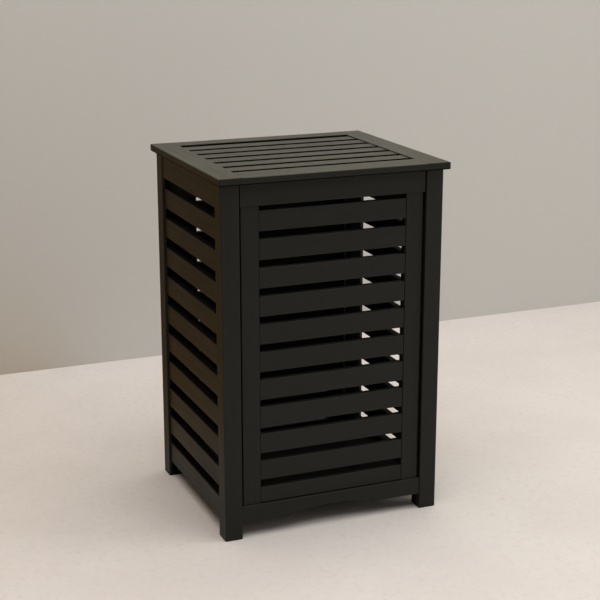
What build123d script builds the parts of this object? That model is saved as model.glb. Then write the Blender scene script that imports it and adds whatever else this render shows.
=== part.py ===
"""A slatted laundry hamper of lacquered wood with a hinged, slatted lid.

Millimetres, +Z up, the front facing -Y, origin on the floor under the middle of the body. Four posts
carry the two side grilles, whose rails and slats are tenoned into them, and the front and back frames,
whose rails are held by dowels and cam locks. Two butt hinges at the back carry the lid.
"""

import os

from build123d import *

# Overall sizes
overall_height = 620
body_width = 394
body_depth = 342
lid_thickness = 12
lid_side_overhang = 7
lid_end_overhang = 11
post_side = 31

# Wood stock, and how its edges are eased
end_rail_stock = 20
side_rail_stock = 18
stile_stock = 16
slat_stock = 12
lid_slat_stock = 8
edge_round = 1.5
slat_round = 0.8
joint_round = 0.8
rail_end_groove = 2
rail_end_groove_depth = 5
slat_end_groove = 1
slat_end_groove_depth = 2.5
foot_chamfer = 1.2

# How far each face stands back from the faces of the posts
end_rail_setback = 1.5
stile_setback = 4.5
end_slat_setback = 5
side_top_rail_setback = 1.5
side_slat_setback = 3.5

# Front and back frames
front_top_rail_height = 38
back_top_rail_height = 85
front_bottom_rail_height = 30
back_bottom_rail_height = 34
end_rail_clearance = 28
stile_width = 32
stile_reveal = 3.2
front_slat_count = 11
front_slat_height = 34
front_slat_gap = 8.5
front_slat_lap = 5.5
groove_clearance = 0.4
back_slat_count = 8
back_slat_height = 48.5

# Raised lower edge of the front bottom rail, from a small step beside each post
arch_inset = 88
arch_step_run = 14
arch_step_rise = 6
arch_rise = 10

# Side grilles
side_top_rail_height = 42
side_bottom_rail_height = 38
side_rail_clearance = 29
side_slat_count = 9
side_slat_height = 34

# Lid
lid_side_rail_width = 42
lid_front_rail_width = 49
lid_back_rail_width = 36
lid_slat_count = 6
lid_slat_width = 29.8
lid_front_gap = 19
lid_slat_recess = 1
lid_inner_round = 0.4
lid_slat_round = 0.4

# Tenons: each mortise is as wide as its tenon, and deeper by the glue gap
glue_gap = 0.5
slat_tenon_length = 10
slat_tenon_thickness = 5
slat_shoulder = 6.5
side_rail_tenon_length = 14
side_rail_tenon_thickness = 8
stile_tenon_length = 5
stile_tenon_thickness = 8
lid_rail_tenon_length = 22
lid_rail_tenon_thickness = 6
rail_shoulder = 6

# Dowels and cam fittings between the front and back rails and the posts
dowel_diameter = 6
dowel_length = 30
dowel_chamfer = 0.8
cam_diameter = 15
cam_depth = 14.5
cam_backset = 24
cam_edge_distance = 10
dowel_edge_distance = 10.5
cam_clearance = 0.1
cam_slot_width = 1.2
cam_slot_length = 9
cam_slot_depth = 1.5
bolt_thread_diameter = 7
bolt_thread_length = 11
bolt_shank_diameter = 6
bolt_neck_diameter = 3.5
bolt_neck_length = 6
bolt_head_length = 4
bolt_clearance = 0.3

# Base panel and the cleats that carry it
base_thickness = 6
base_height = 50
base_clearance = 0.5
cleat_side = 12

# Butt hinges and their screws
hinge_length = 38
hinge_inset = 51
knuckle_diameter = 5.5
knuckle_gap = 0.3
pin_diameter = 2.4
pin_clearance = 0.05
pin_head_diameter = 4
pin_head_length = 0.8
leaf_thickness = 1.2
leaf_width = 20
leaf_clearance = 0.1
leaf_corner = 2
pocket_clearance = 0.25
screw_spacing = 24
screw_from_axis = 12
screw_head_diameter = 5.4
screw_shank_diameter = 3
screw_tip_diameter = 1
screw_length = 9.5
screw_tip_length = 3
screw_clearance = 0.1

# Levels and distances worked out from the sizes above
left, right = -1, 1
front, back = -1, 1
frame_top = overall_height - lid_thickness
half_width = body_width / 2
half_depth = body_depth / 2
post_inner_x = half_width - post_side
post_inner_y = half_depth - post_side

end_opening_top = {front: frame_top - front_top_rail_height, back: frame_top - back_top_rail_height}
end_opening_bottom = {
    front: end_rail_clearance + front_bottom_rail_height,
    back: end_rail_clearance + back_bottom_rail_height,
}
end_rail_y = half_depth - end_rail_setback - end_rail_stock / 2
end_rail_inner_y = end_rail_y - end_rail_stock / 2
stile_x = post_inner_x - stile_reveal - stile_width / 2
stile_inner_x = stile_x - stile_width / 2
stile_y = half_depth - stile_setback - stile_stock / 2
end_slat_y = half_depth - end_slat_setback - slat_stock / 2

side_opening_top = frame_top - side_top_rail_height
side_opening_bottom = side_rail_clearance + side_bottom_rail_height
side_top_rail_x = half_width - side_top_rail_setback - side_rail_stock / 2
side_bottom_rail_x = half_width - side_slat_setback - side_rail_stock / 2
side_rail_inner_x = side_bottom_rail_x - side_rail_stock / 2
side_slat_x = half_width - side_slat_setback - slat_stock / 2
side_top_rail_z = frame_top - side_top_rail_height / 2
side_bottom_rail_z = side_rail_clearance + side_bottom_rail_height / 2

lid_half_width = half_width + lid_side_overhang
lid_half_depth = half_depth + lid_end_overhang
lid_inner_x = lid_half_width - lid_side_rail_width
lid_opening_front = lid_front_rail_width - lid_half_depth
lid_opening_back = lid_half_depth - lid_back_rail_width
lid_z = frame_top + lid_thickness / 2
lid_slat_z = overall_height - lid_slat_recess - lid_slat_stock / 2

# The hinge barrel stands a knuckle gap off the back rail, and as far below the seat of the lid leaf
knuckle_radius = knuckle_diameter / 2
knuckle_length = (hinge_length - 2 * knuckle_gap) / 3
knuckle_pitch = knuckle_length + knuckle_gap
pin_radius = pin_diameter / 2
leaf_seat = knuckle_radius + knuckle_gap
leaf_face = leaf_seat - leaf_thickness
leaf_pocket_depth = leaf_clearance + leaf_thickness
hinge_x = post_inner_x - hinge_inset
hinge_y = end_rail_y + end_rail_stock / 2 + leaf_seat
hinge_z = frame_top + leaf_pocket_depth - leaf_seat

sides = ((left, "left"), (right, "right"))
ends = ((front, "front"), (back, "back"))
standing = (Align.CENTER, Align.CENTER, Align.MIN)

os.makedirs("parts", exist_ok=True)


def save(part, label):
    """Label a finished piece and write it to its own STEP file."""
    part.label = label
    export_step(part, f"parts/{label}.step")


def even_middles(low, high, count, size):
    """Middles of equal pieces spread with equal gaps between two limits, the highest first."""
    gap = (high - low - count * size) / (count + 1)
    return [high - (n + 1) * gap - (n + 0.5) * size for n in range(count)]


# The highest front slat hangs below the top rail, and the lowest one stands in a groove in the bottom rail
highest_front_slat = end_opening_top[front] - front_slat_gap - front_slat_height / 2
lowest_front_slat = end_opening_bottom[front] - front_slat_lap + front_slat_height / 2
front_slat_pitch = (highest_front_slat - lowest_front_slat) / (front_slat_count - 1)
front_slat_middles = [highest_front_slat - n * front_slat_pitch for n in range(front_slat_count)]
back_slat_middles = even_middles(
    end_opening_bottom[back], end_opening_top[back], back_slat_count, back_slat_height
)
side_slat_middles = even_middles(side_opening_bottom, side_opening_top, side_slat_count, side_slat_height)

# The front gap of the lid is the widest, and the other gaps are equal
lid_slats_start = lid_opening_front + lid_front_gap
lid_slat_gap = (lid_opening_back - lid_slats_start) / lid_slat_count - lid_slat_width
lid_slat_middles = [
    lid_slats_start + (n + 0.5) * lid_slat_width + n * lid_slat_gap for n in range(lid_slat_count)
]


# A plane across the middle of a bar, or on the face that a bar is let into, has its x axis along the
# bar's thickness and its y axis along the bar's width.
def bar(middle, length, width, thickness, rounding, inner_rounding=None):
    """Add a bar with eased long edges, centred on the plane across its middle.

    The two edges on the -y side of the plane can have a rounding of their own.
    """
    with BuildSketch(middle) as section:
        Rectangle(thickness, width)
        fillet(section.vertices().group_by(Axis.Y)[-1], rounding)
        fillet(section.vertices().group_by(Axis.Y)[0], inner_rounding or rounding)
    extrude(section.sketch, amount=length / 2, both=True)


def tenons(middle, length, tenon):
    """Add a tenon at each end of a bar; tenon is its width, thickness and length."""
    width, thickness, tenon_length = tenon
    with BuildSketch(middle) as section:
        Rectangle(thickness, width)
    extrude(section.sketch, amount=length / 2 + tenon_length, both=True)


def mortises(face, places, tenon):
    """Cut a mortise for the same tenon at each of the places on a face."""
    width, thickness, tenon_length = tenon
    with BuildSketch(face) as section:
        with Locations(*[face.to_local_coords(Vector(place)) for place in places]):
            Rectangle(thickness, width)
    extrude(section.sketch, amount=-(tenon_length + glue_gap), mode=Mode.SUBTRACT)


side_slat_tenon = (side_slat_height - 2 * slat_shoulder, slat_tenon_thickness, slat_tenon_length)
front_slat_tenon = (front_slat_height - 2 * slat_shoulder, slat_tenon_thickness, slat_tenon_length)
back_slat_tenon = (back_slat_height - 2 * slat_shoulder, slat_tenon_thickness, slat_tenon_length)
lid_slat_tenon = (lid_slat_width - 2 * slat_shoulder, slat_tenon_thickness, slat_tenon_length)
side_top_tenon = (
    side_top_rail_height - 2 * rail_shoulder,
    side_rail_tenon_thickness,
    side_rail_tenon_length,
)
side_bottom_tenon = (
    side_bottom_rail_height - 2 * rail_shoulder,
    side_rail_tenon_thickness,
    side_rail_tenon_length,
)
stile_tenon = (stile_width - 2 * rail_shoulder, stile_tenon_thickness, stile_tenon_length)
lid_front_tenon = (
    lid_front_rail_width - 2 * rail_shoulder,
    lid_rail_tenon_thickness,
    lid_rail_tenon_length,
)
lid_back_tenon = (
    lid_back_rail_width - 2 * rail_shoulder,
    lid_rail_tenon_thickness,
    lid_rail_tenon_length,
)


# Joints of the end rails: one cam fitting and one dowel at each end. A joint's place is on the inner
# face of a post, at the middle of the rail's thickness, with its z axis running into the rail and its
# y axis pointing to the inside of the hamper.
def joint_places(end, heights):
    """Places of the joints at these heights on the two posts of one end."""
    return [
        Plane(
            origin=(side * post_inner_x, end * end_rail_y, height),
            x_dir=(0, 0, -side * end),
            z_dir=(-side, 0, 0),
        ).location
        for side in (left, right)
        for height in heights
    ]


top_cam_z = frame_top - cam_edge_distance
top_dowel_z = {end: opening_top + dowel_edge_distance for end, opening_top in end_opening_top.items()}
bottom_cam_z = end_rail_clearance + cam_edge_distance
bottom_dowel_z = {end: opening_low - dowel_edge_distance for end, opening_low in end_opening_bottom.items()}
cam_places = [place for end in (front, back) for place in joint_places(end, (top_cam_z, bottom_cam_z))]
dowel_places = [
    place for end in (front, back) for place in joint_places(end, (top_dowel_z[end], bottom_dowel_z[end]))
]
bolt_bore = bolt_shank_diameter / 2 + bolt_clearance
bolt_length = cam_backset + bolt_head_length


def rod(radius, start, stop, mode=Mode.ADD):
    """A cylinder along the z axis of each current place, from one distance to another."""
    with Locations((0, 0, start)):
        Cylinder(radius, stop - start, align=standing, mode=mode)


def cams(radius, mode=Mode.ADD):
    """A cam, or its pocket, at each current place: it enters the rail from the inside of the hamper."""
    with Locations(Location((0, end_rail_stock / 2, cam_backset), (90, 0, 0))):
        Cylinder(radius, cam_depth, align=standing, mode=mode)


def dowel_holes(places):
    """Holes on both sides of the joint for a dowel at each place."""
    with Locations(*places):
        reach = dowel_length / 2 + glue_gap
        rod(dowel_diameter / 2, -reach, reach, Mode.SUBTRACT)


with BuildPart() as frame_dowels:
    with Locations(*dowel_places):
        rod(dowel_diameter / 2, -dowel_length / 2, dowel_length / 2)
    chamfer(frame_dowels.edges().filter_by(GeomType.CIRCLE), dowel_chamfer)
save(frame_dowels.part, "frame_dowels")

with BuildPart() as cam_bolts:
    with Locations(*cam_places):
        rod(bolt_thread_diameter / 2, -bolt_thread_length, 0)
        rod(bolt_shank_diameter / 2, 0, cam_backset - bolt_neck_length)
        rod(bolt_neck_diameter / 2, cam_backset - bolt_neck_length, cam_backset)
        rod(bolt_shank_diameter / 2, cam_backset, bolt_length)
save(cam_bolts.part, "cam_bolts")

with BuildPart() as cam_locks:
    with Locations(*cam_places):
        cams(cam_diameter / 2)
        rod(bolt_bore, 0, bolt_length, Mode.SUBTRACT)
        with Locations((0, end_rail_stock / 2, cam_backset)):
            Box(cam_slot_length, 2 * cam_slot_depth, cam_slot_width, mode=Mode.SUBTRACT)
            Box(cam_slot_width, 2 * cam_slot_depth, cam_slot_length, mode=Mode.SUBTRACT)
save(cam_locks.part, "cam_locks")

# Posts: square, eased along their edges and chamfered round the foot
for side, side_name in sides:
    for end, end_name in ends:
        with BuildPart() as post:
            with BuildSketch():
                with Locations((side * (half_width - post_side / 2), end * (half_depth - post_side / 2))):
                    RectangleRounded(post_side, post_side, edge_round)
            extrude(amount=frame_top)
            chamfer(post.edges().group_by(Axis.Z)[0], foot_chamfer)
            face_y = end * post_inner_y
            face = Plane(origin=(0, face_y, 0), x_dir=(1, 0, 0), z_dir=(0, -end, 0))
            mortises(face, [(side * side_slat_x, face_y, z) for z in side_slat_middles], side_slat_tenon)
            mortises(face, [(side * side_top_rail_x, face_y, side_top_rail_z)], side_top_tenon)
            mortises(face, [(side * side_bottom_rail_x, face_y, side_bottom_rail_z)], side_bottom_tenon)
            with Locations(*joint_places(end, (top_cam_z, bottom_cam_z))):
                rod(bolt_thread_diameter / 2, -bolt_thread_length, 0, Mode.SUBTRACT)
            dowel_holes(joint_places(end, (top_dowel_z[end], bottom_dowel_z[end])))
        save(post.part, f"{end_name}_{side_name}_post")


# Side grilles: a rail at the top and bottom and even slats between, all tenoned into the posts
def side_bar(x, z, height, stock, rounding, tenon):
    """Add a bar that runs from a front post to a back post."""
    middle = Plane(origin=(x, 0, z), x_dir=(1, 0, 0), z_dir=(0, -1, 0))
    bar(middle, 2 * post_inner_y, height, stock, rounding)
    tenons(middle, 2 * post_inner_y, tenon)


for side, side_name in sides:
    with BuildPart() as top_rail:
        rail_x = side * side_top_rail_x
        side_bar(rail_x, side_top_rail_z, side_top_rail_height, side_rail_stock, edge_round, side_top_tenon)
    save(top_rail.part, f"{side_name}_top_rail")
    with BuildPart() as bottom_rail:
        rail_x = side * side_bottom_rail_x
        height = side_bottom_rail_height
        side_bar(rail_x, side_bottom_rail_z, height, side_rail_stock, edge_round, side_bottom_tenon)
    save(bottom_rail.part, f"{side_name}_bottom_rail")

for number, z in enumerate(side_slat_middles, start=1):
    with BuildPart() as left_slat:
        side_bar(-side_slat_x, z, side_slat_height, slat_stock, slat_round, side_slat_tenon)
    save(left_slat.part, f"left_slat_{number}")

with BuildPart() as right_slats:
    for z in side_slat_middles:
        side_bar(side_slat_x, z, side_slat_height, slat_stock, slat_round, side_slat_tenon)
save(right_slats.part, "right_slats")

# Countersunk hinge screws: each place is on the open face of a leaf, with its z axis into the wood
screw_offsets = (-screw_spacing / 2, screw_spacing / 2)
hinge_middles = (-hinge_x, hinge_x)
frame_screw_places = [
    Location((middle + offset, hinge_y - leaf_face, hinge_z - screw_from_axis), (90, 0, 0))
    for middle in hinge_middles
    for offset in screw_offsets
]
lid_screw_places = [
    Location((middle + offset, hinge_y - screw_from_axis, hinge_z + leaf_face))
    for middle in hinge_middles
    for offset in screw_offsets
]
screw_head_radius = screw_head_diameter / 2
screw_radius = screw_shank_diameter / 2
screw_bore = screw_radius + screw_clearance


def screws(places, mode=Mode.ADD):
    """Screws, or the holes that they cut in the wood, at each place."""
    head_depth = screw_head_radius - screw_radius
    tip_start = screw_length - screw_tip_length
    with Locations(*places):
        Cone(screw_head_radius, screw_radius, head_depth, align=standing, mode=mode)
        rod(screw_radius, head_depth, tip_start, mode)
        with Locations((0, 0, tip_start)):
            Cone(screw_radius, screw_tip_diameter / 2, screw_tip_length, align=standing, mode=mode)


with BuildPart() as hinge_frame_screws:
    screws(frame_screw_places)
save(hinge_frame_screws.part, "hinge_frame_screws")

with BuildPart() as hinge_lid_screws:
    screws(lid_screw_places)
save(hinge_lid_screws.part, "hinge_lid_screws")


# Front and back frames: rails from post to post, stiles between the rails, slats between the stiles
def end_rail(end, at_top):
    """A rail of the front or back frame.

    A top rail has a narrow groove beside each post, and the front bottom rail has a raised lower edge
    between two steps.
    """
    low = end_opening_top[end] if at_top else end_rail_clearance
    high = frame_top if at_top else end_opening_bottom[end]
    stile_edge = low if at_top else high
    grooved = arched = end == front and not at_top
    reach = post_inner_x
    with BuildPart() as rail:
        with BuildSketch(Plane.XZ.offset(-end * end_rail_y)):
            with BuildLine():
                Polyline((-reach, low), (-reach, high), (reach, high), (reach, low))
                if arched:
                    step_x = reach - arch_inset
                    arch_x = step_x - arch_step_run
                    step_z = low + arch_step_rise
                    for side in (left, right):
                        foot = (side * step_x, low)
                        top = (side * arch_x, step_z)
                        halfway = (side * (step_x + arch_x) / 2, (low + step_z) / 2)
                        Line((side * reach, low), foot)
                        TangentArc(foot, halfway, tangent=(-side, 0))
                        TangentArc(top, halfway, tangent=(side, 0))
                    ThreePointArc((-arch_x, step_z), (0, low + arch_rise), (arch_x, step_z))
                else:
                    Line((-reach, low), (reach, low))
            make_face()
        extrude(amount=end_rail_stock / 2, both=True)
        if not at_top:
            fillet(rail.edges().filter_by(Axis.Z).group_by(Axis.Y)[0 if end == front else -1], joint_round)
        fillet(rail.edges().filter_by(Axis.X).group_by(Axis.Z)[-1], edge_round)
        if not arched:
            fillet(rail.edges().filter_by(Axis.X).group_by(Axis.Z)[0], edge_round)
        if at_top:
            face_y = half_depth - end_rail_setback
            with Locations((0, end * (face_y - rail_end_groove_depth / 2), (low + high) / 2)):
                with GridLocations(2 * reach - rail_end_groove, 0, 2, 1):
                    Box(rail_end_groove, rail_end_groove_depth, high - low, mode=Mode.SUBTRACT)
        stile_face = Plane(origin=(0, 0, stile_edge), x_dir=(0, 1, 0), z_dir=(0, 0, -1 if at_top else 1))
        stile_middles = [(side * stile_x, end * stile_y, stile_edge) for side in (left, right)]
        mortises(stile_face, stile_middles, stile_tenon)
        with Locations(*joint_places(end, [top_cam_z if at_top else bottom_cam_z])):
            rod(bolt_bore, 0, cam_backset, Mode.SUBTRACT)
            cams(cam_diameter / 2 + cam_clearance, Mode.SUBTRACT)
        dowel_holes(joint_places(end, [top_dowel_z[end] if at_top else bottom_dowel_z[end]]))
        if at_top and end == back:
            screws(frame_screw_places, Mode.SUBTRACT)
        if grooved:
            with BuildSketch(Plane.XY.offset(high)):
                with Locations((0, end * end_slat_y)):
                    Rectangle(2 * stile_inner_x, slat_stock + 2 * groove_clearance)
            extrude(amount=-(front_slat_lap + groove_clearance), mode=Mode.SUBTRACT)
    return rail.part


def stile(end, side, slat_middles, slat_tenon):
    """An upright of the front or back frame, with the mortises of its slats and a groove at their ends."""
    length = end_opening_top[end] - end_opening_bottom[end]
    middle_z = end_opening_bottom[end] + length / 2
    middle = Plane(origin=(side * stile_x, end * stile_y, middle_z), x_dir=(0, 1, 0), z_dir=(0, 0, 1))
    slat_face = Plane(origin=(side * stile_inner_x, 0, 0), x_dir=(0, 1, 0), z_dir=(-side, 0, 0))
    with BuildPart() as upright:
        bar(middle, length, stile_width, stile_stock, edge_round)
        tenons(middle, length, stile_tenon)
        mortises(slat_face, [(side * stile_inner_x, end * end_slat_y, z) for z in slat_middles], slat_tenon)
        groove_x = stile_inner_x + slat_end_groove / 2
        groove_y = half_depth - stile_setback - slat_end_groove_depth / 2
        with Locations((side * groove_x, end * groove_y, middle_z)):
            Box(slat_end_groove, slat_end_groove_depth, length, mode=Mode.SUBTRACT)
    return upright.part


def end_slat(end, z, height, tenon):
    """Add a slat that runs from stile to stile."""
    middle = Plane(origin=(0, end * end_slat_y, z), x_dir=(0, 1, 0), z_dir=(1, 0, 0))
    bar(middle, 2 * stile_inner_x, height, slat_stock, slat_round)
    tenons(middle, 2 * stile_inner_x, tenon)


for end, end_name in ends:
    save(end_rail(end, at_top=True), f"{end_name}_top_rail")
    save(end_rail(end, at_top=False), f"{end_name}_bottom_rail")

for side, side_name in sides:
    save(stile(front, side, front_slat_middles, front_slat_tenon), f"front_{side_name}_stile")
    save(stile(back, side, back_slat_middles, back_slat_tenon), f"back_{side_name}_stile")

for number, z in enumerate(front_slat_middles, start=1):
    with BuildPart() as front_slat:
        end_slat(front, z, front_slat_height, front_slat_tenon)
    save(front_slat.part, f"front_slat_{number:02d}")

with BuildPart() as back_slats:
    for z in back_slat_middles:
        end_slat(back, z, back_slat_height, back_slat_tenon)
save(back_slats.part, "back_slats")

# Base panel, notched round the posts, on four cleats along the bottom rails
with BuildPart() as base_panel:
    with BuildSketch(Plane.XY.offset(base_height)):
        Rectangle(2 * (side_rail_inner_x - base_clearance), 2 * (end_rail_inner_y - base_clearance))
        with GridLocations(2 * half_width, 2 * half_depth, 2, 2):
            notch_side = 2 * (post_side + base_clearance)
            Rectangle(notch_side, notch_side, mode=Mode.SUBTRACT)
    extrude(amount=base_thickness)
save(base_panel.part, "base_panel")

with BuildPart() as base_cleats:
    cleat_x = side_rail_inner_x - cleat_side / 2
    cleat_y = end_rail_inner_y - cleat_side / 2
    with BuildSketch(Plane.XY.offset(base_height)):
        with Locations((-cleat_x, 0), (cleat_x, 0)):
            Rectangle(cleat_side, 2 * post_inner_y)
        with Locations((0, -cleat_y), (0, cleat_y)):
            Rectangle(2 * (cleat_x - cleat_side / 2 - base_clearance), cleat_side)
    extrude(amount=-cleat_side)
save(base_cleats.part, "base_cleats")


# Lid: side rails of its whole depth, with the front rail, back rail and slats tenoned between them. The
# rails are flush where they meet, so their inner edges are only just broken.
def lid_rail(end, y, width, tenon):
    """Add the front or back rail of the lid."""
    middle = Plane(origin=(0, y, lid_z), x_dir=(0, 0, 1), z_dir=(-end, 0, 0))
    bar(middle, 2 * lid_inner_x, width, lid_thickness, edge_round, lid_inner_round)
    tenons(middle, 2 * lid_inner_x, tenon)


lid_front_rail_y = (lid_opening_front - lid_half_depth) / 2
lid_back_rail_y = (lid_opening_back + lid_half_depth) / 2

for side, side_name in sides:
    inner_face = Plane(origin=(side * lid_inner_x, 0, 0), x_dir=(0, 0, 1), z_dir=(-side, 0, 0))
    face_x = side * lid_inner_x
    with BuildPart() as lid_side_rail:
        rail_x = side * (lid_half_width - lid_side_rail_width / 2)
        middle = Plane(origin=(rail_x, 0, lid_z), x_dir=(0, 0, 1), z_dir=(0, side, 0))
        bar(middle, 2 * lid_half_depth, lid_side_rail_width, lid_thickness, edge_round, lid_inner_round)
        mortises(inner_face, [(face_x, lid_front_rail_y, lid_z)], lid_front_tenon)
        mortises(inner_face, [(face_x, lid_back_rail_y, lid_z)], lid_back_tenon)
        mortises(inner_face, [(face_x, y, lid_slat_z) for y in lid_slat_middles], lid_slat_tenon)
    save(lid_side_rail.part, f"lid_{side_name}_rail")

with BuildPart() as lid_front_rail:
    lid_rail(front, lid_front_rail_y, lid_front_rail_width, lid_front_tenon)
save(lid_front_rail.part, "lid_front_rail")

with BuildPart() as lid_back_rail:
    lid_rail(back, lid_back_rail_y, lid_back_rail_width, lid_back_tenon)
    with BuildSketch(Plane.XY.offset(frame_top)):
        with Locations((-hinge_x, hinge_y), (hinge_x, hinge_y)):
            with Locations((0, (leaf_seat - leaf_width) / 2)):
                Rectangle(hinge_length + 2 * (pin_head_length + pocket_clearance), leaf_width + leaf_seat)
    extrude(amount=leaf_pocket_depth, mode=Mode.SUBTRACT)
    screws(lid_screw_places, Mode.SUBTRACT)
save(lid_back_rail.part, "lid_back_rail")

for number, y in enumerate(lid_slat_middles, start=1):
    with BuildPart() as lid_slat:
        middle = Plane(origin=(0, y, lid_slat_z), x_dir=(0, 0, 1), z_dir=(1, 0, 0))
        bar(middle, 2 * lid_inner_x, lid_slat_width, lid_slat_stock, lid_slat_round)
        tenons(middle, 2 * lid_inner_x, lid_slat_tenon)
    save(lid_slat.part, f"lid_slat_{number}")


# Butt hinges: the frame leaf has the two outer knuckles and the lid leaf the middle one
def hinge_leaf(middle, knuckle_offsets, screw_places):
    """One leaf on the plane across the hinge axis: x runs along the leaf, y points to the wood."""
    with BuildPart() as leaf:
        with BuildSketch(middle):
            with Locations(((leaf_seat + leaf_width) / 2, leaf_seat - leaf_thickness / 2)):
                Rectangle(leaf_width - leaf_seat, leaf_thickness)
        extrude(amount=hinge_length / 2, both=True)
        across_plate = leaf.edges().filter_by(Axis((0, 0, 0), middle.y_dir))
        fillet(across_plate.group_by(Axis((0, 0, 0), middle.x_dir))[-1], leaf_corner)
        for offset in knuckle_offsets:
            with BuildSketch(middle.offset(offset)):
                Circle(knuckle_radius)
                with Locations((leaf_seat / 2, leaf_seat - leaf_thickness / 2)):
                    Rectangle(leaf_seat, leaf_thickness)
            extrude(amount=knuckle_length / 2, both=True)
        with BuildSketch(middle):
            Circle(pin_radius + pin_clearance)
        extrude(amount=hinge_length / 2, both=True, mode=Mode.SUBTRACT)
        with Locations(*screw_places):
            Cone(
                screw_head_radius,
                screw_bore,
                screw_head_radius - screw_bore,
                align=standing,
                mode=Mode.SUBTRACT,
            )
            rod(screw_bore, 0, leaf_thickness, Mode.SUBTRACT)
    return leaf.part


for hinge, (side, side_name) in enumerate(sides):
    axis_point = (side * hinge_x, hinge_y, hinge_z)
    own_screws = slice(2 * hinge, 2 * hinge + 2)
    frame_side = Plane(origin=axis_point, x_dir=(0, 0, -1), z_dir=(-1, 0, 0))
    frame_leaf = hinge_leaf(frame_side, (-knuckle_pitch, knuckle_pitch), frame_screw_places[own_screws])
    save(frame_leaf, f"{side_name}_hinge_frame_leaf")
    lid_side = Plane(origin=axis_point, x_dir=(0, -1, 0), z_dir=(-1, 0, 0))
    lid_leaf = hinge_leaf(lid_side, (0,), lid_screw_places[own_screws])
    save(lid_leaf, f"{side_name}_hinge_lid_leaf")

with BuildPart() as hinge_pins:
    with Locations(*[Location((x, hinge_y, hinge_z), (0, 90, 0)) for x in hinge_middles]):
        rod(pin_radius, -hinge_length / 2, hinge_length / 2)
        rod(pin_head_diameter / 2, -hinge_length / 2 - pin_head_length, -hinge_length / 2)
        rod(pin_head_diameter / 2, hinge_length / 2, hinge_length / 2 + pin_head_length)
save(hinge_pins.part, "hinge_pins")
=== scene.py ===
"""Looks of a slatted laundry hamper: black satin lacquer on wood, steel hinges, a pale studio floor.

Sizes are in metres and angles in degrees.
"""
import math

import bpy
from mathutils import Matrix, Vector


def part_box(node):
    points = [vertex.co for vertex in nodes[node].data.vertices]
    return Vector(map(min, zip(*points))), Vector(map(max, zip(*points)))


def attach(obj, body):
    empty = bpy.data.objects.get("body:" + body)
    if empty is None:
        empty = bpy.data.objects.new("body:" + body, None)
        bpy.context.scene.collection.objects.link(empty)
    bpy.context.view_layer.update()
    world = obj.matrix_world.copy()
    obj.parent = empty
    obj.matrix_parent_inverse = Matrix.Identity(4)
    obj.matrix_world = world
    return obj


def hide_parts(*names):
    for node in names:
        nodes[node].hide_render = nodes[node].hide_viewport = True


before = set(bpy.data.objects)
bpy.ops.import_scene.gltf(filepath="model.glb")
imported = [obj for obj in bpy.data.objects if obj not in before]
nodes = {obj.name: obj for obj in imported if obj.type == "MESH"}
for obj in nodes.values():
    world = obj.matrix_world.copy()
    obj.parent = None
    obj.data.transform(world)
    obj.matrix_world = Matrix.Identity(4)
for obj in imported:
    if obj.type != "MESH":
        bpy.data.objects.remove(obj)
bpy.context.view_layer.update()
scene = bpy.context.scene


# Posts and stiles: square legs of hardwood from the floor to the lid, with flat uprights beside them that
# hold the slats. All the wood is sprayed with one thin coat of black satin lacquer, under which the fibres
# and pores still show as a faint relief. Here the grain runs upwards.
class Graph:
    """A node tree, with short ways to add nodes and join them."""

    def __init__(self, tree):
        self.tree = tree

    def node(self, kind, **settings):
        made = self.tree.nodes.new(kind)
        for name, value in settings.items():
            setattr(made, name, value)
        return made

    def feed(self, socket, value):
        """Join an output to an input, or set the input to a plain value."""
        if isinstance(value, bpy.types.NodeSocket):
            self.tree.links.new(value, socket)
        else:
            socket.default_value = value

    def maths(self, operation, first, *others):
        """Apply an operation to one value, or to several in turn."""
        for other in others or (0.0,):
            made = self.node("ShaderNodeMath", operation=operation)
            self.feed(made.inputs[0], first)
            self.feed(made.inputs[1], other)
            first = made.outputs["Value"]
        return first


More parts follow.
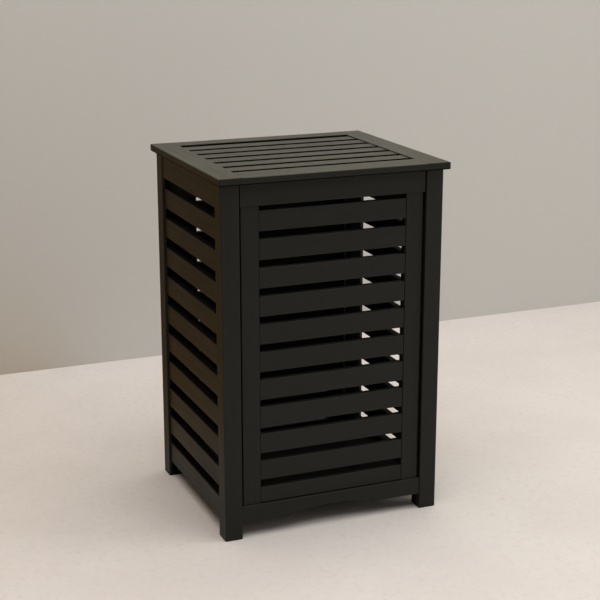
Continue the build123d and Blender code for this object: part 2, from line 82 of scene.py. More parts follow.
class Shader(Graph):
    """The node tree of a new material: one Principled surface, and the place on the object."""

    def __init__(self, name):
        self.material = bpy.data.materials.new(name)
        self.material.use_nodes = True
        super().__init__(self.material.node_tree)
        self.tree.nodes.clear()
        self.surface = self.node("ShaderNodeBsdfPrincipled")
        output = self.node("ShaderNodeOutputMaterial")
        self.feed(output.inputs["Surface"], self.surface.outputs["BSDF"])
        self.place = self.node("ShaderNodeTexCoord").outputs["Object"]
        axes = self.node("ShaderNodeSeparateXYZ")
        self.feed(axes.inputs["Vector"], self.place)
        self.x, self.y, self.z = axes.outputs

    def set(self, **values):
        """Feed inputs of the surface, named with _ for a space."""
        for name, value in values.items():
            self.feed(self.surface.inputs[name.replace("_", " ")], value)

    def noise(self, place, scale, detail, roughness, seed):
        made = self.node("ShaderNodeTexNoise", noise_dimensions="4D")
        self.feed(made.inputs["Vector"], place)
        self.feed(made.inputs["W"], seed)
        self.feed(made.inputs["Scale"], scale)
        self.feed(made.inputs["Detail"], detail)
        self.feed(made.inputs["Roughness"], roughness)
        return made.outputs["Fac"]

    def spread(self, value, low, high, new_low=0.0, new_high=1.0):
        """Stretch the values from low to high over a new range, and hold those beyond at its ends."""
        made = self.node("ShaderNodeMapRange")
        for socket, number in zip(made.inputs, (value, low, high, new_low, new_high)):
            self.feed(socket, number)
        return made.outputs["Result"]

    def scaled(self, vector, factors):
        made = self.node("ShaderNodeVectorMath", operation="MULTIPLY")
        self.feed(made.inputs[0], vector)
        self.feed(made.inputs[1], factors)
        return made.outputs["Vector"]

    def mix(self, share, first, second):
        made = self.node("ShaderNodeMix", data_type="RGBA")
        self.feed(made.inputs["Factor"], share)
        for name, value in (("A", first), ("B", second)):
            self.feed(next(s for s in made.inputs if s.name == name and s.type == "RGBA"), value)
        return next(s for s in made.outputs if s.type == "RGBA")

    def turned_edge(self, radius):
        """How far the surface turns within a radius: 1 where it is flat, and less on an edge."""
        bevel = self.node("ShaderNodeBevel", samples=4)
        bevel.inputs["Radius"].default_value = radius
        turn = self.node("ShaderNodeVectorMath", operation="DOT_PRODUCT")
        self.feed(turn.inputs[0], bevel.outputs["Normal"])
        self.feed(turn.inputs[1], self.node("ShaderNodeNewGeometry").outputs["Normal"])
        return turn.outputs["Value"]

    def relief(self, height, strength, distance):
        made = self.node("ShaderNodeBump")
        self.feed(made.inputs["Strength"], strength)
        self.feed(made.inputs["Distance"], distance)
        self.feed(made.inputs["Height"], height)
        self.set(Normal=made.outputs["Normal"])


# Painted shade: deep in the gaps and on the inner faces low down, the lacquer is painted dull and black,
# with weak reflections, where shade falls. Round the mouth, above the laundry, it has the plain lacquer
# again.
hair = 0.0001
face_margin = 0.0005
line_fade = 0.0004
shade_fade = 0.008
side_sharpness = 4.0
side_shade_inset = 0.003
front_shade_inset = 0.013
dull_half_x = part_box("right_slats")[1].x - side_shade_inset
dull_half_y = -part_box("front_slat_01")[0].y - front_shade_inset
dull_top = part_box("front_left_post")[1].z - hair
below_floor = -1.0
mouth_half_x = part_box("right_slats")[0].x + face_margin
mouth_half_y = -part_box("front_top_rail")[1].y + face_margin
mouth_start = 0.500
mouth_full = 0.540


def hollow(shader, half_x, middle_y, half_y, bottom, top, fade):
    """1 in a box that is centred in x, falling to 0 over the fade outside it, and sooner to the sides."""
    from_side = shader.maths("SUBTRACT", half_x, shader.maths("ABSOLUTE", shader.x))
    from_middle = shader.maths("ABSOLUTE", shader.maths("SUBTRACT", shader.y, middle_y))
    depth = shader.maths(
        "MINIMUM",
        shader.maths("MULTIPLY", from_side, side_sharpness),
        shader.maths("SUBTRACT", half_y, from_middle),
        shader.maths("SUBTRACT", top, shader.z),
        shader.maths("SUBTRACT", shader.z, bottom),
    )
    return shader.spread(depth, -fade, 0)


def below(shader, height):
    """1 below a height, with a crisp edge."""
    return shader.spread(shader.z, height, height - line_fade)


def frame_painted_shade(shader):
    """The painted shade in the gaps and on the inner faces of the frame, without the mouth."""
    gaps = hollow(shader, dull_half_x, 0, dull_half_y, below_floor, dull_top, shade_fade)
    mouth = shader.maths(
        "MULTIPLY",
        shader.maths("LESS_THAN", shader.maths("ABSOLUTE", shader.x), mouth_half_x),
        shader.maths("LESS_THAN", shader.maths("ABSOLUTE", shader.y), mouth_half_y),
        shader.spread(shader.z, mouth_start, mouth_full),
    )
    return shader.maths("MULTIPLY", gaps, shader.maths("SUBTRACT", 1.0, mouth))


frame_coat = (0.0026, 0.0032, 0.0016, 1), (0.0052, 0.0062, 0.0030, 1)
frame_satin = 0.54
frame_gloss = 0.30
rubbed_coat = (0.030, 0.027, 0.022, 1)
rubbed_radius = 0.0012
rubbed_most = 0.55
# Colour, reflection tint and extra roughness of the painted shade in the gaps and inner faces.
painted_shade_colour = (0.0008, 0.0008, 0.0007, 1)
painted_shade_tint = (0.1, 0.1, 0.1, 1)
hollow_dullness = 0.3
full_tint = (1, 1, 1, 1)
edge_tint = (0.8, 0.8, 0.8, 1)
seed_span = 40.0
fibre_stretch = (0.030, 1, 1)
cloud_stretch = (0.4, 1, 1)
board_tones = (-0.15, 0.25)
streak_sheen = 0.05
cloud_sheen = 0.03
pore_dullness = 0.12
pore_depth = 0.6
grain_relief = 0.45
grain_depth = 0.0004
grain_turn = {"X": (0, 0, 0), "Y": (0, 0, math.radians(-90)), "Z": (0, math.radians(90), 0)}


def grain(shader, along):
    """The place with x along the grain, and a number from 0 to 1 that sets each board apart."""
    if along == "bar":
        bar_place = shader.node("ShaderNodeAttribute", attribute_name="bar_place")
        board = shader.node("ShaderNodeAttribute", attribute_name="board")
        return bar_place.outputs["Vector"], board.outputs["Fac"]
    upended = shader.node("ShaderNodeMapping")
    upended.inputs["Rotation"].default_value = grain_turn[along]
    shader.feed(upended.inputs["Vector"], shader.place)
    return upended.outputs["Vector"], 0.5


def lacquered_wood(name, along, painted_shade_share=frame_painted_shade, satin=frame_satin, gloss=frame_gloss,
                   coat=frame_coat, relief=grain_relief, edge_heights=None):
    """Lacquer over wood whose grain runs along an axis, or along each bar of a row of bars. Between two
    heights, the finish can change from that of a smoother top to the frame's own on the edges below it."""
    shader = Shader(name)
    grain_place, board = grain(shader, along)
    seed = shader.maths("MULTIPLY", board, seed_span)
    drawn_out = shader.scaled(grain_place, fibre_stretch)
    drifting = shader.scaled(grain_place, cloud_stretch)
    fibre = shader.noise(drawn_out, scale=700, detail=3, roughness=0.6, seed=shader.maths("ADD", seed, 1))
    streak = shader.noise(drawn_out, scale=150, detail=3, roughness=0.55, seed=shader.maths("ADD", seed, 2))
    cloud = shader.noise(drifting, scale=14, detail=2, roughness=0.5, seed=shader.maths("ADD", seed, 3))
    pore = shader.spread(fibre, 0.58, 0.68)

    # Colour: streaks of two tones, edges rubbed paler, and a painted shade of dull black in the hollow.
    streak_share = shader.maths("ADD", shader.spread(streak, 0.36, 0.66, 0, 0.8),
                                shader.spread(board, 0, 1, *board_tones))
    colour = shader.mix(streak_share, *coat)
    tint = full_tint
    edge_dullness = 0.0
    if edge_heights:
        edge = shader.spread(shader.z, *edge_heights)
        colour = shader.mix(edge, colour, shader.mix(streak_share, *frame_coat))
        tint = shader.mix(edge, tint, edge_tint)
        edge_dullness = shader.maths("MULTIPLY", edge, frame_satin - satin)
    rounded = shader.spread(shader.turned_edge(rubbed_radius), 0.985, 0.90, 0, rubbed_most)
    rubbed = shader.maths("MULTIPLY", rounded, shader.spread(cloud, 0.45, 0.70))
    colour = shader.mix(rubbed, colour, rubbed_coat)
    # Painted shade: darker colour, weaker reflections and more roughness in the gaps and inner faces.
    dull = painted_shade_share(shader)
    shader.set(Base_Color=shader.mix(dull, colour, painted_shade_colour))
    shader.set(Specular_Tint=shader.mix(dull, tint, painted_shade_tint), Specular_IOR_Level=gloss)

    # Sheen: satin that varies with the streaks and clouds, duller in pores and in the painted shade.
    shader.set(Roughness=shader.maths(
        "ADD",
        shader.spread(streak, 0.3, 0.7, satin - streak_sheen, satin + streak_sheen),
        shader.spread(cloud, 0.3, 0.7, -cloud_sheen, cloud_sheen),
        edge_dullness,
        shader.maths("MULTIPLY", pore, pore_dullness),
        shader.maths("MULTIPLY", dull, hollow_dullness),
    ))
    height = shader.maths("SUBTRACT", streak, shader.maths("MULTIPLY", pore, pore_depth))
    shader.relief(height, relief, grain_depth)
    return shader.material


def dress(material, *names):
    """Give CAD nodes a material, with their shapes as they are."""
    for name in names:
        nodes[name].data.materials[0] = material


upright_lacquer = lacquered_wood("upright_lacquer", "Z")
for end in ("front", "back"):
    for side in ("left", "right"):
        dress(upright_lacquer, f"{end}_{side}_post", f"{end}_{side}_stile")


# Rails of the frame: solid hardwood like the posts, with the grain along each rail. The front and back ones
# are held by dowels and cam fittings, and the side ones are glued into the posts.
end_rail_lacquer = lacquered_wood("end_rail_lacquer", "X")
side_rail_lacquer = lacquered_wood("side_rail_lacquer", "Y")
for level in ("top", "bottom"):
    dress(end_rail_lacquer, f"front_{level}_rail", f"back_{level}_rail")
    dress(side_rail_lacquer, f"left_{level}_rail", f"right_{level}_rail")


# Slats of the four sides: thin planed boards with eased edges and a tenon at each end, glued into the
# stiles at the front and back and straight into the posts at the sides. Each board has its own grain.
crease = math.radians(50)
rounding_steps = 3


class Grower(Graph):
    """A geometry node tree with named inputs, which ends in one material."""

    def __init__(self, name, inputs, material):
        super().__init__(bpy.data.node_groups.new(name, "GeometryNodeTree"))
        kinds = {float: "NodeSocketFloat", int: "NodeSocketInt"}
        panel = self.tree.interface
        panel.new_socket("Geometry", in_out="INPUT", socket_type="NodeSocketGeometry")
        self.keys = {}
        for label, kind in inputs.items():
            socket = panel.new_socket(label, in_out="INPUT", socket_type=kinds[kind])
            self.keys[label] = socket.identifier
        panel.new_socket("Geometry", in_out="OUTPUT", socket_type="NodeSocketGeometry")
        self.start = self.node("NodeGroupInput")
        self.finish = self.node("NodeGroupOutput")
        self.material = material

    def value(self, label):
        return self.start.outputs[label]

    def vector(self, x=0.0, y=0.0, z=0.0):
        made = self.node("ShaderNodeCombineXYZ")
        for socket, number in zip(made.inputs, (x, y, z)):
            self.feed(socket, number)
        return made.outputs["Vector"]

    def end(self, geometry):
        """Close the tree: real geometry, smooth but for its sharp edges, in one material."""
        real = self.node("GeometryNodeRealizeInstances")
        self.feed(real.inputs["Geometry"], geometry)
        smooth = self.node("GeometryNodeSetShadeSmooth", domain="FACE")
        self.feed(smooth.inputs["Geometry"], real.outputs["Geometry"])
        angle = self.node("GeometryNodeInputMeshEdgeAngle").outputs["Unsigned Angle"]
        crisp = self.node("GeometryNodeSetShadeSmooth", domain="EDGE")
        self.feed(crisp.inputs["Geometry"], smooth.outputs["Geometry"])
        self.feed(crisp.inputs["Selection"], self.maths("GREATER_THAN", angle, crease))
        self.feed(crisp.inputs["Shade Smooth"], False)
        dressed = self.node("GeometryNodeSetMaterial")
        self.feed(dressed.inputs["Geometry"], crisp.outputs["Geometry"])
        self.feed(dressed.inputs["Material"], self.material)
        self.feed(self.finish.inputs["Geometry"], dressed.outputs["Geometry"])

    def grow(self, name, points, turn, **sizes):
        """Run the tree on points with these sizes, and keep a plain mesh that is turned into place."""
        mesh = bpy.data.meshes.new(f"{name}_points")
        mesh.from_pydata(points, [], [])
        grown = bpy.data.objects.new(name, mesh)
        scene.collection.objects.link(grown)
        modifier = grown.modifiers.new("grow", "NODES")
        modifier.node_group = self.tree
        for label, size in sizes.items():
            modifier[self.keys[label]] = size
        grown.modifiers.new("flat_faces", "WEIGHTED_NORMAL").keep_sharp = True
        depsgraph = bpy.context.evaluated_depsgraph_get()
        plain = bpy.data.meshes.new_from_object(
            grown.evaluated_get(depsgraph), preserve_all_data_layers=True, depsgraph=depsgraph
        )
        grown.modifiers.clear()
        grown.data = plain
        plain.transform(turn)
        return grown


def bar_row(name, material):
    """A tree for a row of equal bars: length along x, width along the row in z, thickness in y."""
    sizes = {"Count": int, "Pitch": float, "Length": float, "Width": float, "Thickness": float,
             "Rounding": float, "Tenon Length": float, "Shoulder": float, "Tenon Thickness": float,
             "Seed": int}
    tree = Grower(name, sizes, material)

    def stick(length, width, thickness, rounding=None):
        half = tree.maths("MULTIPLY", length, 0.5)
        path = tree.node("GeometryNodeCurvePrimitiveLine")
        tree.feed(path.inputs["Start"], tree.vector(x=tree.maths("MULTIPLY", half, -1.0)))
        tree.feed(path.inputs["End"], tree.vector(x=half))
        outline = tree.node("GeometryNodeCurvePrimitiveQuadrilateral")
        tree.feed(outline.inputs["Width"], thickness)
        tree.feed(outline.inputs["Height"], width)
        profile = outline.outputs["Curve"]
        if rounding:
            eased = tree.node("GeometryNodeFilletCurve", mode="POLY")
            eased.inputs["Count"].default_value = rounding_steps
            tree.feed(eased.inputs["Curve"], profile)
            tree.feed(eased.inputs["Radius"], rounding)
            profile = eased.outputs["Curve"]
        swept = tree.node("GeometryNodeCurveToMesh")
        swept.inputs["Fill Caps"].default_value = True
        tree.feed(swept.inputs["Curve"], path.outputs["Curve"])
        tree.feed(swept.inputs["Profile Curve"], profile)
        return swept.outputs["Mesh"]

    length, width = tree.value("Length"), tree.value("Width")
    board = stick(length, width, tree.value("Thickness"), tree.value("Rounding"))
    tenon = stick(
        tree.maths("ADD", length, tree.maths("MULTIPLY", tree.value("Tenon Length"), 2.0)),
        tree.maths("SUBTRACT", width, tree.maths("MULTIPLY", tree.value("Shoulder"), 2.0)),
        tree.value("Tenon Thickness"),
    )
    joined = tree.node("GeometryNodeJoinGeometry")
    tree.feed(joined.inputs["Geometry"], board)
    tree.feed(joined.inputs["Geometry"], tenon)
    placed = tree.node("GeometryNodeStoreNamedAttribute", data_type="FLOAT_VECTOR", domain="POINT")
    placed.inputs["Name"].default_value = "bar_place"
    tree.feed(placed.inputs["Geometry"], joined.outputs["Geometry"])
    tree.feed(placed.inputs["Value"], tree.node("GeometryNodeInputPosition").outputs["Position"])

    line = tree.node("GeometryNodeMeshLine", mode="OFFSET")
    tree.feed(line.inputs["Count"], tree.value("Count"))
    tree.feed(line.inputs["Offset"], tree.vector(z=tree.value("Pitch")))
    copies = tree.node("GeometryNodeInstanceOnPoints")
    tree.feed(copies.inputs["Points"], line.outputs["Mesh"])
    tree.feed(copies.inputs["Instance"], placed.outputs["Geometry"])
    chance = tree.node("FunctionNodeRandomValue", data_type="FLOAT")
    tree.feed(chance.inputs["Seed"], tree.value("Seed"))
    marked = tree.node("GeometryNodeStoreNamedAttribute", data_type="FLOAT", domain="INSTANCE")
    marked.inputs["Name"].default_value = "board"
    tree.feed(marked.inputs["Geometry"], copies.outputs["Instances"])
    tree.feed(marked.inputs["Value"], next(s for s in chance.outputs if s.type == "VALUE" and s.enabled))
    tree.end(marked.outputs["Geometry"])
    return tree


# The lowest front slat stands in a groove of the bottom rail; a painted shadow darkens its foot above it.
slat_shadow = 0.0018
slat_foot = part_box("front_bottom_rail")[1].z + slat_shadow
slat_round = 0.0008
slat_tenon = 0.010
slat_shoulder = 0.0065
slat_tenon_thickness = 0.005


def slat_painted_shade(shader):
    """Painted shade in the frame's gaps and inner faces, and a painted shadow on the lowest front slat's
    foot.
    """
    return shader.maths("MAXIMUM", frame_painted_shade(shader), below(shader, slat_foot))


slat_row = bar_row("slat_row", lacquered_wood("slat_lacquer", "bar", slat_painted_shade))


def slats(name, replaced, turn, box, count, width, seed,
          tree=slat_row, body="frame", rounding=slat_round):
    """A row of slats that fills a box between two corners, for the CAD nodes that it replaces."""
    low, high = (turn.inverted() @ corner for corner in box)
    size = Vector([abs(b - a) for a, b in zip(low, high)])
    middle = (low + high) / 2
    start = Matrix.Translation((middle.x, middle.y, middle.z - size.z / 2 + width / 2))
    row = tree.grow(name, [(0, 0, 0)], turn @ start, **{
        "Count": count, "Pitch": (size.z - width) / (count - 1), "Length": size.x - 2 * slat_tenon,
        "Width": width, "Thickness": size.y, "Rounding": rounding, "Tenon Length": slat_tenon,
        "Shoulder": slat_shoulder, "Tenon Thickness": slat_tenon_thickness, "Seed": seed,
    })
    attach(row, body)
    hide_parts(*replaced)


def row_box(first, last):
    """The low corner of one CAD node and the high corner of another."""
    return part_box(first)[0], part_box(last)[1]


def height_of(name):
    low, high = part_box(name)
    return high.z - low.z


across_front = Matrix()
across_side = Matrix.Rotation(math.radians(90), 4, "Z")
front_nodes = [f"front_slat_{n:02d}" for n in range(1, 12)]
left_nodes = [f"left_slat_{n}" for n in range(1, 10)]
side_count = len(left_nodes)
side_width = height_of("left_slat_1")
rear_count = 8
rear_width = 0.0485
slats("front_slats", front_nodes, across_front, row_box("front_slat_11", "front_slat_01"),
      len(front_nodes), height_of("front_slat_01"), seed=3)
slats("left_side_slats", left_nodes, across_side, row_box("left_slat_9", "left_slat_1"),
      side_count, side_width, seed=5)
slats("right_side_slats", ["right_slats"], across_side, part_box("right_slats"),
      side_count, side_width, seed=8)
slats("rear_slats", ["back_slats"], across_front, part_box("back_slats"),
      rear_count, rear_width, seed=12)


# Base: a thin painted board that lies loose on four cleats glued along the bottom rails. The paint is
# plain and a little duller than the lacquer, with the fine orange peel of a sprayed board.
board_paint = Shader("painted_board")
board_black = (0.0030, 0.0029, 0.0025, 1)
board_paint.set(Base_Color=board_black, Specular_IOR_Level=0.2)
peel = board_paint.noise(board_paint.place, scale=480, detail=2, roughness=0.5, seed=4)
board_paint.set(Roughness=board_paint.spread(peel, 0.3, 0.7, 0.66, 0.76))
board_paint.relief(peel, 0.15, 0.0003)
dress(board_paint.material, "base_panel")
dress(side_rail_lacquer, "base_cleats")


# Knock-down fittings of the front and back rails: zinc plated steel bolts in the posts, gripped by turned
# cam locks in the rails, with plain beech dowels beside them that keep the rails from twisting.
zinc = Shader("zinc_plate")
zinc_dark = (0.52, 0.52, 0.50, 1)
zinc_pale = (0.68, 0.67, 0.63, 1)
spangle = zinc.noise(zinc.place, scale=900, detail=3, roughness=0.6, seed=5)
zinc.set(Base_Color=zinc.mix(spangle, zinc_dark, zinc_pale), Metallic=1.0)
zinc.set(Roughness=zinc.spread(spangle, 0.3, 0.7, 0.30, 0.46))
dress(zinc.material, "cam_bolts", "cam_locks")

beech = Shader("raw_beech")
beech_pale = (0.66, 0.47, 0.29, 1)
beech_dark = (0.50, 0.33, 0.18, 1)
beech_stretch = (0.05, 1, 1)
beech_grain = beech.scaled(beech.place, beech_stretch)
ray_fleck = beech.noise(beech_grain, scale=900, detail=3, roughness=0.6, seed=6)
beech.set(Base_Color=beech.mix(beech.spread(ray_fleck, 0.4, 0.65), beech_pale, beech_dark), Roughness=0.7)
beech.relief(ray_fleck, 0.3, 0.0002)
dress(beech.material, "frame_dowels")


# Lid: a flat frame of four rails that are flush where they meet, with the slats let into the side rails.
# The long rails and the slats have their grain across the hamper, and the side rails from front to back.
# The top is rubbed smoother than the frame, while its edges keep the frame's finish.
lid_coat = (0.0030, 0.0032, 0.0010, 1), (0.0180, 0.0170, 0.0070, 1)
lid_finish = {"satin": 0.34, "gloss": 0.36, "coat": lid_coat}
lid_relief = 1.3 * grain_relief
lid_edge_start = 0.0008
lid_edge_full = 0.0018
# Bands at the tops of the lid's walls and slats kept out of the painted shade, and the painted shadow's
# height.
lid_wall_unshaded = 0.0014
lid_slat_unshaded = 0.001
lid_painted_shadow = 0.0021
lid_slat_drop = Vector((0, 0, 0.0004))
lid_slat_round = 0.0004
lid_low, lid_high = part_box("lid_left_rail")
lid_slat_low, lid_slat_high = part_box("lid_slat_1")
lid_edges = (lid_high.z - lid_edge_start, lid_high.z - lid_edge_full)
opening_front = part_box("lid_front_rail")[1].y
opening_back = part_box("lid_back_rail")[0].y
lid_opening = {
    "half_x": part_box("lid_right_rail")[0].x + face_margin,
    "middle_y": (opening_front + opening_back) / 2,
    "half_y": (opening_back - opening_front) / 2 + face_margin,
    "fade": line_fade,
}


def lid_rail_painted_shade(shader):
    """Painted shade on the opening's walls, and a fine painted shadow low on the outer edges, not the
    underside.
    """
    walls = hollow(shader, bottom=lid_low.z + line_fade, top=lid_high.z - lid_wall_unshaded, **lid_opening)
    off_underside = shader.maths("GREATER_THAN", shader.z, lid_low.z + hair)
    shadow = shader.maths("MULTIPLY", below(shader, lid_low.z + lid_painted_shadow), off_underside)
    return shader.maths("MAXIMUM", walls, shadow)


def lid_slat_painted_shade(shader):
    """Painted shade in the gaps between the lid's slats, from their undersides to just below their tops."""
    top = lid_slat_high.z - lid_slat_unshaded
    return hollow(shader, bottom=lid_slat_low.z + line_fade, top=top, **lid_opening)


lid_long = lacquered_wood("lid_rail_lacquer", "X", lid_rail_painted_shade, relief=lid_relief,
                          edge_heights=lid_edges, **lid_finish)
lid_side = lacquered_wood("lid_side_lacquer", "Y", lid_rail_painted_shade, edge_heights=lid_edges, **lid_finish)
dress(lid_long, "lid_front_rail", "lid_back_rail")
dress(lid_side, "lid_left_rail", "lid_right_rail")
lid_slat_lacquer = lacquered_wood("lid_slat_lacquer", "bar", lid_slat_painted_shade, relief=lid_relief,
                                  **lid_finish)
lid_row = bar_row("lid_row", lid_slat_lacquer)
lid_nodes = [f"lid_slat_{n}" for n in range(1, 7)]
across_lid = Matrix.Rotation(math.radians(-90), 4, "X")
lid_row_low, lid_row_high = row_box("lid_slat_1", "lid_slat_6")
slats("lid_slats", lid_nodes, across_lid, (lid_row_low, lid_row_high - lid_slat_drop),
      len(lid_nodes), lid_slat_high.y - lid_slat_low.y, seed=21,
      tree=lid_row, body="lid", rounding=lid_slat_round)


# Hinges: two black painted steel butt hinges on the back, whose pins keep the lid to the frame. Each leaf
# is held by two countersunk zinc plated screws with a cross recess.
hinge_paint = Shader("hinge_paint")
paint_black = (0.012, 0.012, 0.012, 1)
paint_speck = (0.05, 0.05, 0.05, 1)
speck = hinge_paint.noise(hinge_paint.place, scale=1500, detail=3, roughness=0.6, seed=7)
hinge_paint.set(Base_Color=hinge_paint.mix(hinge_paint.spread(speck, 0.60, 0.72), paint_black, paint_speck))
hinge_paint.set(Roughness=hinge_paint.spread(speck, 0.3, 0.7, 0.34, 0.46), Specular_IOR_Level=0.5)
hinge_paint.relief(speck, 0.2, 0.0001)
for side in ("left", "right"):
    dress(hinge_paint.material, f"{side}_hinge_frame_leaf", f"{side}_hinge_lid_leaf")
dress(zinc.material, "hinge_pins")

screw_sizes = {"Head Radius": 0.0027, "Shank Radius": 0.0015, "Tip Radius": 0.0005, "Length": 0.0095,
               "Tip Length": 0.003, "Recess Width": 0.0007, "Recess Depth": 0.0009}
screw_sides = 40
recess_arms = 4.0
screw_tree = Grower("countersunk_screws", dict.fromkeys(screw_sizes, float), zinc.material)


def turned_steel(near, far, start, length):
    """A turned piece of the screw along z, from one radius to another."""
    cone = screw_tree.node("GeometryNodeMeshCone")
    cone.inputs["Vertices"].default_value = screw_sides
    for label, size in (("Radius Bottom", near), ("Radius Top", far), ("Depth", length)):
        screw_tree.feed(cone.inputs[label], size)
    moved = screw_tree.node("GeometryNodeTransform")
    screw_tree.feed(moved.inputs["Geometry"], cone.outputs["Mesh"])
    screw_tree.feed(moved.inputs["Translation"], screw_tree.vector(z=start))
    return moved.outputs["Geometry"]


head_radius, shank_radius = screw_tree.value("Head Radius"), screw_tree.value("Shank Radius")
head_depth = screw_tree.maths("SUBTRACT", head_radius, shank_radius)
tip_length = screw_tree.value("Tip Length")
tip_start = screw_tree.maths("SUBTRACT", screw_tree.value("Length"), tip_length)
shank_length = screw_tree.maths("SUBTRACT", tip_start, head_depth)
recess_width = screw_tree.value("Recess Width")
recess_span = screw_tree.maths("MULTIPLY", recess_width, recess_arms)
recess_height = screw_tree.maths("MULTIPLY", screw_tree.value("Recess Depth"), 2.0)
recessed = screw_tree.node("GeometryNodeMeshBoolean", operation="DIFFERENCE")
screw_tree.feed(recessed.inputs["Mesh 1"], turned_steel(head_radius, shank_radius, 0.0, head_depth))
for across, along in ((recess_width, recess_span), (recess_span, recess_width)):
    bar_of_cross = screw_tree.node("GeometryNodeMeshCube")
    screw_tree.feed(bar_of_cross.inputs["Size"], screw_tree.vector(across, along, recess_height))
    screw_tree.feed(recessed.inputs["Mesh 2"], bar_of_cross.outputs["Mesh"])
whole = screw_tree.node("GeometryNodeJoinGeometry")
for piece in (
    recessed.outputs["Mesh"],
    turned_steel(shank_radius, shank_radius, head_depth, shank_length),
    turned_steel(shank_radius, screw_tree.value("Tip Radius"), tip_start, tip_length),
):
    screw_tree.feed(whole.inputs["Geometry"], piece)
driven = screw_tree.node("GeometryNodeInstanceOnPoints")
screw_tree.feed(driven.inputs["Points"], screw_tree.value("Geometry"))
screw_tree.feed(driven.inputs["Instance"], whole.outputs["Geometry"])
screw_tree.end(driven.outputs["Instances"])

leaf_low, leaf_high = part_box("right_hinge_frame_leaf")
hinge_middle = (leaf_low.x + leaf_high.x) / 2
screw_offset = 0.012
screw_places = [side * hinge_middle + step for side in (-1, 1) for step in (-screw_offset, screw_offset)]


def leaf_screws(name, replaced, body, face, turn):
    """The four screws of one leaf of both hinges, whose heads lie in a face."""
    points = [turn.inverted() @ (face + Vector((x, 0, 0))) for x in screw_places]
    screws = screw_tree.grow(name, points, turn, **screw_sizes)
    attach(screws, body)
    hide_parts(replaced)


low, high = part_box("hinge_frame_screws")
leaf_screws("leaf_screws_frame", "hinge_frame_screws", "frame",
            Vector((0, high.y, (low.z + high.z) / 2)), Matrix.Rotation(math.radians(90), 4, "X"))
low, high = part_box("hinge_lid_screws")
leaf_screws("leaf_screws_lid", "hinge_lid_screws", "lid",
            Vector((0, (low.y + high.y) / 2, low.z)), Matrix())


# Studio: a pale, faintly clouded and flecked floor that meets a plain wall, which shows from its front
# alone. The gloss of the hamper mirrors a warm brown shade on its left, as beside wooden furniture, and a
# painted band of paler light high on the wall, neither of which a direct look at the floor and wall sees.
floor_colour = (0.682, 0.630, 0.605, 1)
floor_cloud = (0.656, 0.602, 0.578, 1)
floor_fleck = (0.590, 0.530, 0.492, 1)
floor_reach = 9
wall_colour = (0.55, 0.535, 0.51, 1)
painted_wall_light = (0.62, 0.60, 0.43, 1)
wall_distance = 0.85
wall_reach = 4
wall_height = 3.2
painted_light_z = (0.8, 1.2)
brown_shade = (0.40, 0.225, 0.065, 1)
shade_slant = 0.187
floor_shade_x = (-0.26, -0.46)
floor_shade_y = (0.0, 0.3)
wall_shade_x = (-0.35, -0.42)


def plain_sheet(name, corners):
    """A flat stage sheet through four corners, and its shader."""
    mesh = bpy.data.meshes.new(name)
    mesh.from_pydata(corners, [], [(0, 1, 2, 3)])
    sheet = bpy.data.objects.new(name, mesh)
    scene.collection.objects.link(sheet)
    shader = Shader(name)
    shader.set(Roughness=0.7, Specular_IOR_Level=0.2)
    mesh.materials.append(shader.material)
    return shader


def mirrored_share(sheet, *shares):
    """The part of a sheet where all shares meet, for mirrors and soft light alone."""
    looked_at = sheet.node("ShaderNodeLightPath").outputs["Is Camera Ray"]
    return sheet.maths("MULTIPLY", *shares, sheet.maths("SUBTRACT", 1.0, looked_at))


floor_corners = [(-1, -1), (1, -1), (1, 1), (-1, 1)]
floor = plain_sheet("floor", [(x * floor_reach, y * floor_reach, 0) for x, y in floor_corners])
patches = floor.noise(floor.place, scale=5, detail=4, roughness=0.6, seed=8)
flecks = floor.noise(floor.place, scale=75, detail=4, roughness=0.65, seed=9)
clouded = floor.mix(floor.spread(patches, 0.4, 0.6), floor_colour, floor_cloud)
flecked = floor.mix(floor.spread(flecks, 0.5, 0.7, 0, 0.6), clouded, floor_fleck)
beside = floor.maths("SUBTRACT", floor.x, floor.maths("MULTIPLY", floor.y, shade_slant))
far_enough = floor.spread(floor.y, *floor_shade_y)
floor_shaded = mirrored_share(floor, floor.spread(beside, *floor_shade_x), far_enough)
floor.set(Base_Color=floor.mix(floor_shaded, flecked, brown_shade))

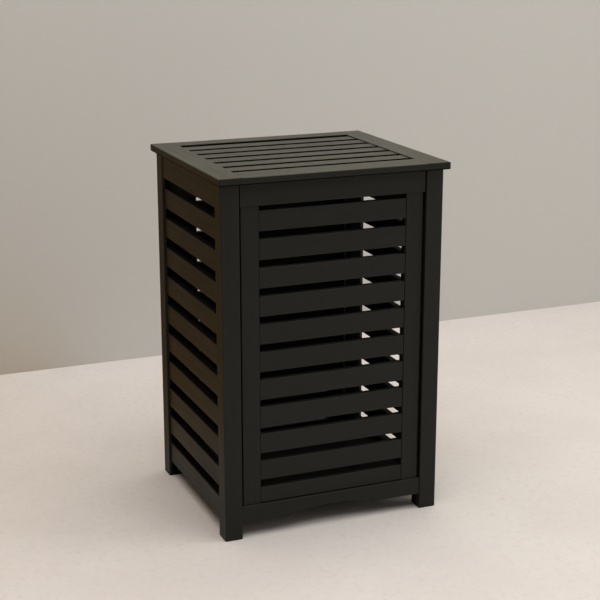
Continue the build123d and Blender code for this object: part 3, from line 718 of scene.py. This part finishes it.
wall_corners = [(-wall_reach, 0), (wall_reach, 0), (wall_reach, wall_height), (-wall_reach, wall_height)]
wall = plain_sheet("wall", [(x, wall_distance, z) for x, z in wall_corners])
# Painted light: a paler warm band high on the wall, seen only in reflections and soft light.
painted_light_share = mirrored_share(wall, wall.spread(wall.z, *painted_light_z))
wall_shaded = mirrored_share(wall, wall.spread(wall.x, *wall_shade_x))
wall.set(Base_Color=wall.mix(wall_shaded, wall.mix(painted_light_share, wall_colour, painted_wall_light), brown_shade))
wall.set(Alpha=wall.maths("SUBTRACT", 1.0, wall.node("ShaderNodeNewGeometry").outputs["Backfacing"]))


# Light: a wide soft box over the room, a window's worth of light from the front right, and a faint warm
# light from all round, which a direct look sees brighter than it shines.
room_colour = (1, 0.955, 0.87, 1)
room_shine = 0.16
room_seen = 0.34


def soft_lamp(name, place, aim, size, power, colour):
    """A rectangular soft box that points from its place to another."""
    lamp = bpy.data.lights.new(name, "AREA")
    lamp.shape = "RECTANGLE"
    lamp.size, lamp.size_y = size
    lamp.energy = power
    lamp.color = colour
    holder = bpy.data.objects.new(name, lamp)
    turn = (Vector(aim) - Vector(place)).to_track_quat("-Z", "Y")
    holder.matrix_world = Matrix.Translation(place) @ turn.to_matrix().to_4x4()
    holder.visible_camera = False
    scene.collection.objects.link(holder)


soft_lamp("ceiling_light", place=(0.1, -0.8, 3.0), aim=(0.1, -0.8, 0), size=(4.2, 4.0), power=140,
          colour=(1, 0.99, 0.955))
soft_lamp("window_light", place=(5.6, -1.9, 1.6), aim=(0, 0, 0.3), size=(4, 3), power=100,
          colour=(1, 0.995, 0.97))
world = bpy.data.worlds.new("room")
scene.world = world
world.use_nodes = True
room = Graph(world.node_tree)
room_light = world.node_tree.nodes["Background"]
room_light.inputs["Color"].default_value = room_colour
beyond = room.node("ShaderNodeMapRange")
room.feed(beyond.inputs["Value"], room.node("ShaderNodeLightPath").outputs["Is Camera Ray"])
room.feed(beyond.inputs["To Min"], room_shine)
room.feed(beyond.inputs["To Max"], room_seen)
room.feed(room_light.inputs["Strength"], beyond.outputs["Result"])


# Camera: a short telephoto view from the front left, a little above the lid.
camera_place = (-0.9223, -2.2473, 1.0385)
camera_turn = 22.503
camera_tilt = 15.672
camera_lens = 85.6
camera = bpy.data.cameras.new("camera")
camera.lens = camera_lens
camera.sensor_width = 36
viewer = bpy.data.objects.new("camera", camera)
viewer.location = camera_place
viewer.rotation_euler = (math.radians(90 - camera_tilt), 0, math.radians(-camera_turn))
scene.collection.objects.link(viewer)
scene.camera = viewer
scene.view_settings.view_transform = "Standard"
